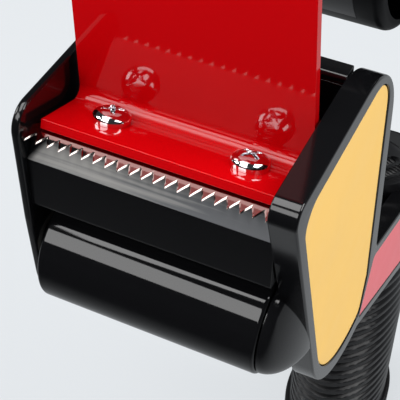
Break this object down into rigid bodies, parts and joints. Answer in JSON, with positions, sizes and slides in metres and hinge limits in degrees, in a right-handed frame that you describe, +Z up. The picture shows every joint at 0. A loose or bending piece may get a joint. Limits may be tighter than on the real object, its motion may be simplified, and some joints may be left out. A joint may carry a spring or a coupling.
{
  "type": "packing tape dispenser",
  "caption": "Hand-held packing tape dispenser with pistol grip, toothed blade, wiper flap, applicator roller and braked hub for wide tape rolls.",
  "frame": {"origin": "centre of the hub that the tape roll turns on, halfway across the tape", "axes": "+Z up along the grip, -Y towards the blade, +X towards the side plate, along the hub's axis"},
  "size_m": [0.0659, 0.1452, 0.2584],
  "materials": {
    "frame_plastic": "glossy moulded black",
    "panel_yellow": "smooth pale yellow",
    "strip_red": "smooth washed-out red",
    "blade_steel": "bright cold-rolled strip",
    "flap_red": "glossy clear-dyed red",
    "screw_chrome": "bright plated",
    "roller_rubber": "smooth black",
    "core_plastic": "moulded black",
    "bush_plastic": "natural acetal",
    "axle_steel": "turned, zinc plated",
    "hub_plastic": "moulded black",
    "spring_steel": "drawn wire and strip",
    "friction_fibre": "pressed fibre",
    "knob_plastic": "moulded red",
    "grip_rubber": "ribbed soft black"
  },
  "bodies": {
    "frame": {"side_frame": "frame_plastic", "side_panel": "panel_yellow", "arm_strip": "strip_red", "left_cheek": "frame_plastic", "crosspiece": "frame_plastic", "cutting_blade": "blade_steel", "tape_flap": "flap_red", "flap_screws": "screw_chrome", "rear_wall": "frame_plastic", "cheek_screws": "screw_chrome", "frame_screws": "screw_chrome", "roller_axle": "axle_steel", "guide_axle": "axle_steel", "axle_clips": "axle_steel", "hub_axle": "axle_steel", "friction_washer": "friction_fibre", "thrust_washers": "axle_steel", "brake_spring": "spring_steel", "grip_sleeve": "grip_rubber", "thumb_rest": "grip_rubber", "butt_cap": "grip_rubber", "butt_screw": "screw_chrome"},
    "applicator_roller": {"roller_skin": "roller_rubber", "roller_core": "core_plastic", "roller_bushes": "bush_plastic"},
    "guide": {"guide_roller": "core_plastic"},
    "hub": {"hub_drum": "hub_plastic", "core_leaves": "spring_steel"},
    "knob": {"brake_knob": "knob_plastic"}
  },
  "joints": [
    {"name": "roller_spin", "type": "hinge", "parent": "frame", "child": "applicator_roller", "pos_m": [0, -0.095, -0.0515], "axis": [1, 0, 0], "continuous": true},
    {"name": "guide_roller_spin", "type": "hinge", "parent": "frame", "child": "guide", "pos_m": [0, -0.076, -0.0407], "axis": [1, 0, 0], "continuous": true},
    {"name": "hub_spin", "type": "hinge", "parent": "frame", "child": "hub", "pos_m": [0, 0, 0], "axis": [1, 0, 0], "continuous": true},
    {"name": "brake_knob_turn", "type": "hinge", "parent": "frame", "child": "knob", "pos_m": [0, 0, 0], "axis": [1, 0, 0], "range_deg": [-180, 180]}
  ]
}
